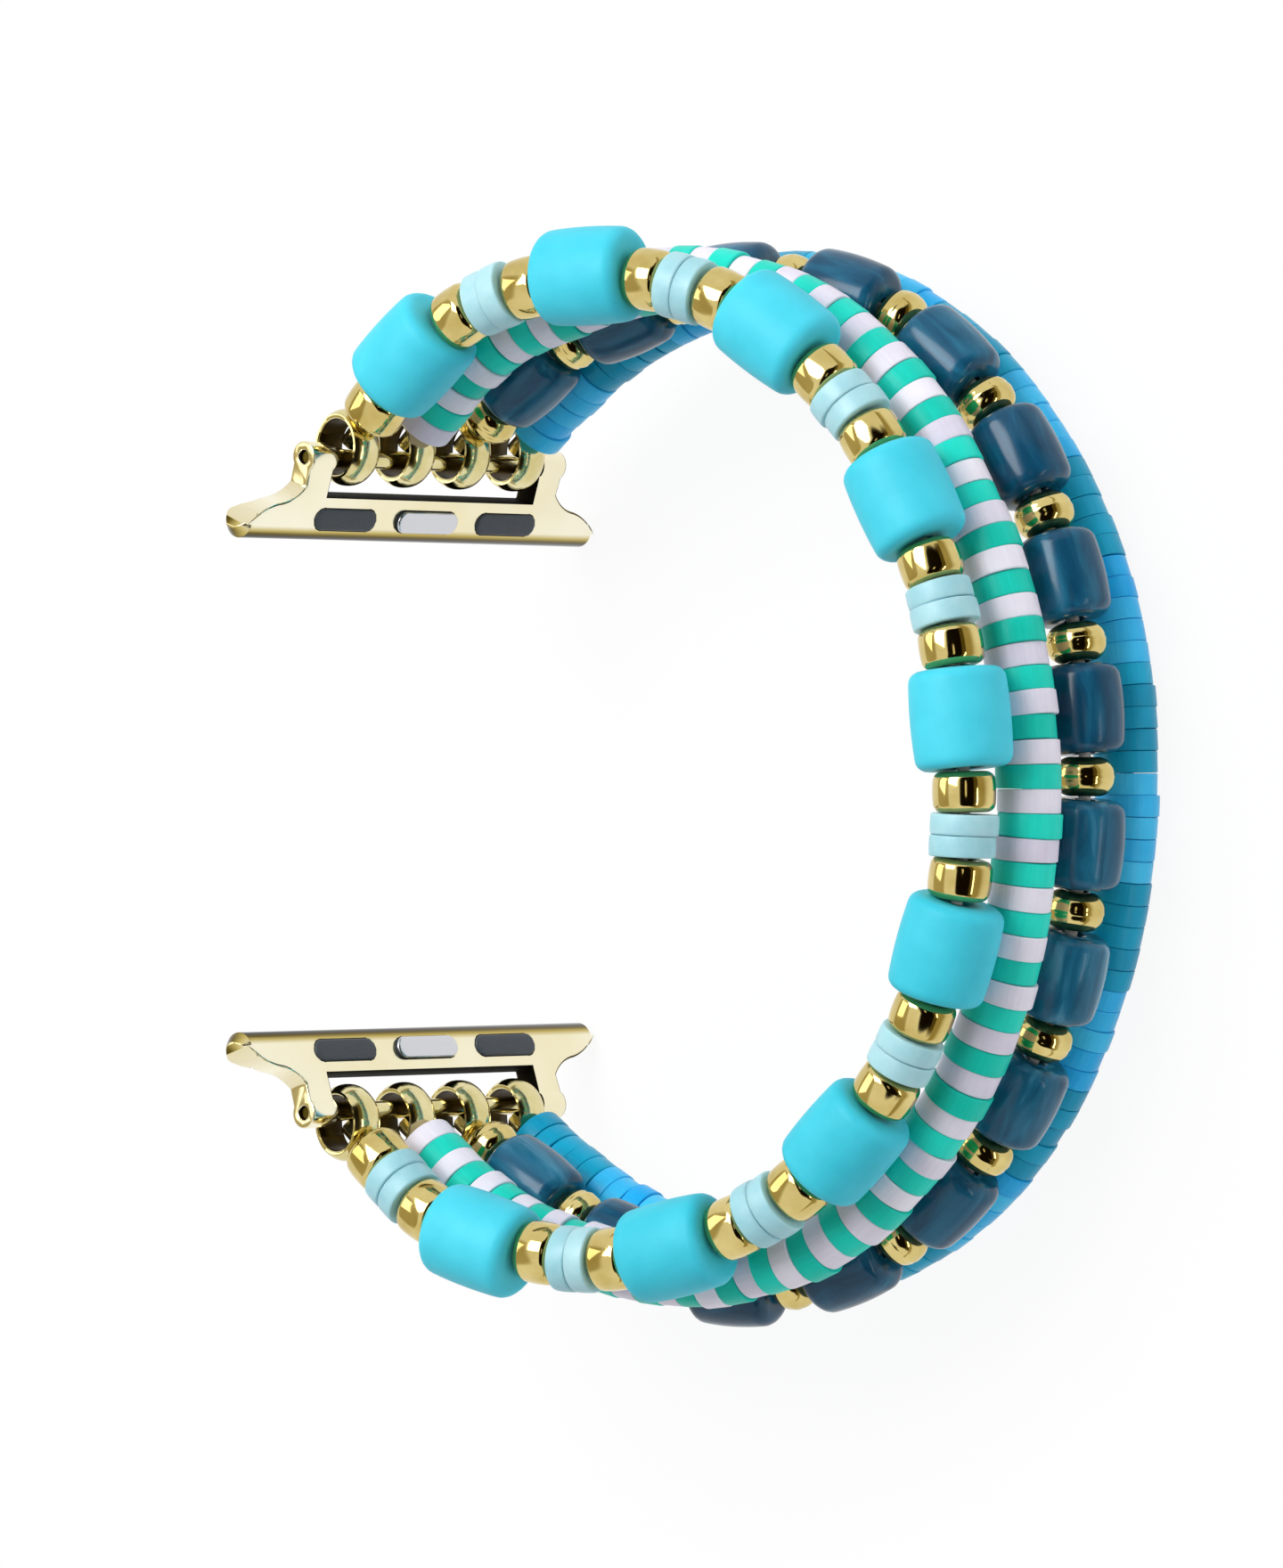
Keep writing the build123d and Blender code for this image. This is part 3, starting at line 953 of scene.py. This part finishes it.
def make_coil(end, number):
    """Half of the coil spring in a spring bar, which gives when its tip is pressed."""
    node = f"{end}_bar_spring"
    low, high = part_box(node)
    centre = (low + high) / 2
    way = 1 if number == 1 else -1
    whole = (high.z - low.z) / 2 / MM
    run = whole - 2 * coil_wire
    steps = coil_turns * coil_turn_steps
    bm = bmesh.new()
    rings = []
    for step in range(steps + 1):
        turn = math.tau * coil_turns * step / steps
        away = Vector((math.cos(turn), math.sin(turn), 0))
        spot = away * coil_radius + UP * way * (coil_wire + run * step / steps)
        ring = []
        for side in range(coil_wire_sides):
            at = math.tau * side / coil_wire_sides
            skin = (away * math.cos(at) + UP * math.sin(at)) * coil_wire
            ring.append(bm.verts.new(centre + (spot + skin) * MM))
        rings.append(ring)
    join_loops(bm, rings)
    close_ends(bm, rings)
    name = f"{end}_coil_{number}"
    stands_for = [node] if number == 1 else []
    piece = finish_piece(
        name, mesh_from(bm, name), "spring", f"{end}_foot", stands_for,
    )
    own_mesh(piece)


def make_leaf(end):
    """The leaf spring behind a latch, which gives when the latch is pressed."""
    node = f"{end}_latch_spring"
    piece = softened_node(
        node, f"{end}_leaf", "spring", f"{end}_foot", leaf_edge,
    )
    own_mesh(piece)


def paint_node(node, material):
    """A CAD node shown as it is, in a material of its own."""
    slots = frame["nodes"][node].data.materials
    slots.clear()
    slots.append(materials[material])


for end in ends:
    make_frame(end)
    make_leaf(end)
    for number in (1, 2):
        make_coil(end, number)
    for number in (1, 2):
        make_insert(
            end, f"{end}_pad_{number}", f"{end}_grip_{number}", "rubber",
            f"{end}_foot", pad_rise, pad_body,
        )
        # The bar tips inside the ear holes take painted shade
        paint_node(f"{end}_bar_tip_{number}", "painted_shade_gold")
    make_insert(
        end, f"{end}_latch", f"{end}_button", "latch",
        f"{end}_catch", latch_rise, latch_body,
    )
    softened_node(f"{end}_bar_sleeve", f"{end}_bar", "ring_gold", f"{end}_foot", bar_edge)
    for number in range(1, ring_count + 1):
        paint_node(f"{end}_crimp_{number}", "ring_gold")


# Floor, light and camera


def light_path(tree, *names):
    """A value of 1 for rays of the kinds named, and of 0 for all others."""
    path = add_node(tree, "LightPath")
    total = path.outputs[names[0]]
    for name in names[1:]:
        either = add_node(tree, "Math", {"operation": "MAXIMUM"})
        tree.links.new(total, either.inputs[0])
        tree.links.new(path.outputs[name], either.inputs[1])
        total = either.outputs[0]
    return total


world = bpy.data.worlds.new("studio")
bpy.context.scene.world = world
world.use_nodes = True
tree = world.node_tree
background = tree.nodes["Background"]
seen = light_path(tree, "Is Camera Ray", "Is Glossy Ray", "Is Transmission Ray")
level = add_node(tree, "MapRange", Value=seen, To_Min=ambient_strength, To_Max=1.0)
tree.links.new(level.outputs["Result"], background.inputs["Strength"])
background.inputs["Color"].default_value = (1, 1, 1, 1)


def make_floor():
    """A white floor, which keeps the band's shadow."""
    bm = bmesh.new()
    bmesh.ops.create_grid(bm, x_segments=1, y_segments=1, size=4)
    floor = bpy.data.objects.new("floor", mesh_from(bm, "floor"))
    bpy.context.scene.collection.objects.link(floor)
    made = bpy.data.materials.new("floor")
    made.use_nodes = True
    tree = made.node_tree
    tree.nodes.clear()
    paint = add_node(tree, "BsdfDiffuse", Color=srgb("F4F4F4"))
    glow = add_node(tree, "Emission", Color=(1, 1, 1, 1), Strength=1.0)
    seen = light_path(tree, "Is Camera Ray", "Is Glossy Ray", "Is Transmission Ray")
    share = add_node(tree, "MapRange", Value=seen, To_Min=0.0, To_Max=floor_glow_share)
    mix = add_node(tree, "MixShader", Fac=share.outputs["Result"])
    tree.links.new(paint.outputs[0], mix.inputs[1])
    tree.links.new(glow.outputs[0], mix.inputs[2])
    out = add_node(tree, "OutputMaterial")
    tree.links.new(mix.outputs[0], out.inputs["Surface"])
    floor.data.materials.append(made)


right = Vector((math.cos(view_tilt), 0, -math.sin(view_tilt)))
towards = Vector((math.sin(view_tilt), 0, math.cos(view_tilt)))
across = Vector((0, 1, 0))
middle = (cad_low + cad_high) / 2


def make_lamp(name, direction, distance, size, power):
    """A square softbox that faces the middle of the band."""
    lamp = bpy.data.lights.new(name, "AREA")
    lamp.shape = "SQUARE"
    lamp.size = size
    lamp.energy = power
    made = bpy.data.objects.new(name, lamp)
    bpy.context.scene.collection.objects.link(made)
    direction = direction.normalized()
    made.location = middle + direction * distance
    made.rotation_mode = "QUATERNION"
    made.rotation_quaternion = direction.to_track_quat("Z", "Y")


def make_card(name, centre, facing, width, height, code, soft=0.3):
    """A soft-edged card that shows only in polished pieces, as a studio's flags do."""
    bm = bmesh.new()
    bmesh.ops.create_grid(bm, x_segments=24, y_segments=24, size=0.5)
    mask = bm.verts.layers.float.new("mask")
    for vert in bm.verts:
        inward = 1 - (abs(2 * vert.co.x) ** 4 + abs(2 * vert.co.y) ** 4) ** 0.25
        vert[mask] = min(1, max(0, inward / soft))
    bmesh.ops.scale(bm, vec=(width, height, 1), verts=bm.verts)
    card = bpy.data.objects.new(name, mesh_from(bm, name))
    bpy.context.scene.collection.objects.link(card)
    facing = facing.normalized()
    upright = (across - facing * across.dot(facing)).normalized()
    place = Matrix((upright.cross(facing), upright, facing)).transposed().to_4x4()
    place.translation = centre
    card.matrix_world = place
    made = bpy.data.materials.new(name)
    made.use_nodes = True
    tree = made.node_tree
    tree.nodes.clear()
    cover = add_node(tree, "Attribute", {"attribute_name": "mask"}).outputs["Fac"]
    smooth = add_node(tree, "MapRange", {"interpolation_type": "SMOOTHSTEP"}, Value=cover)
    glow = add_node(tree, "Emission", Color=srgb(code), Strength=1.0)
    mix = add_node(tree, "MixShader", Fac=smooth.outputs["Result"])
    tree.links.new(add_node(tree, "BsdfTransparent").outputs[0], mix.inputs[1])
    tree.links.new(glow.outputs[0], mix.inputs[2])
    out = add_node(tree, "OutputMaterial")
    tree.links.new(mix.outputs[0], out.inputs["Surface"])
    card.data.materials.append(made)
    for kind in ("camera", "diffuse", "transmission", "volume_scatter", "shadow"):
        setattr(card, f"visible_{kind}", False)


make_floor()
make_lamp(
    "key", towards * 0.75 - right * 0.65 + across * 0.45, distance=0.5, size=0.3, power=2.2,
)
make_lamp(
    "fill", towards * 0.5 + right * 0.9 - across * 0.2, distance=0.6, size=0.35, power=1.8,
)
make_lamp(
    "back", -right * 0.8 + across * 0.2 + towards * 0.1, distance=0.6, size=0.3, power=0.5,
)
front_way = (towards + right * 0.22).normalized()
side_way = (towards * 0.74 + right * 0.68).normalized()
window_way = (towards + right * 0.1 + across * 0.08).normalized()
left_way = (towards * 0.1 - right).normalized()
make_card("flag_left", middle + left_way * 0.72, left_way, 0.8, 1.2, "C2B894")
make_card("flag_side", middle + side_way * 0.66, side_way, 0.6, 1.8, "5E5228")
make_card("flag_front", middle + front_way * 0.62, front_way, 0.76, 1.3, "140E02", soft=0.2)
make_card("flag_window", middle + window_way * 0.58, window_way, 0.07, 0.2, "FFF6DC")
make_card("flag_floor", Vector((0.34, 0, 0.0005)), UP, 0.62, 1.2, "B4A87C", soft=0.05)


def make_camera():
    """The camera, placed so that the two bars fall where the photograph has them."""
    data = bpy.data.cameras.new("camera")
    data.sensor_fit = "VERTICAL"
    data.sensor_height = sensor_height
    data.lens = focal_pixels * sensor_height / image_height
    data.clip_start = 0.01
    data.clip_end = 20
    aims = []
    for end, pixel in (("upper", upper_bar_pixel), ("lower", lower_bar_pixel)):
        bar = node_centre(f"{end}_bar_sleeve")
        depth = camera_distance - bar.dot(towards)
        aims.append((
            bar.dot(right) - (pixel[0] - image_width / 2) * depth / focal_pixels,
            bar.dot(across) + (pixel[1] - image_height / 2) * depth / focal_pixels,
        ))
    sideways, upwards = [sum(values) / len(values) for values in zip(*aims)]
    camera = bpy.data.objects.new("camera", data)
    bpy.context.scene.collection.objects.link(camera)
    place = Matrix((right, across, towards)).transposed().to_4x4()
    place.translation = right * sideways + across * upwards + towards * camera_distance
    camera.matrix_world = place
    bpy.context.scene.camera = camera


make_camera()
bpy.context.scene.view_settings.view_transform = "Standard"
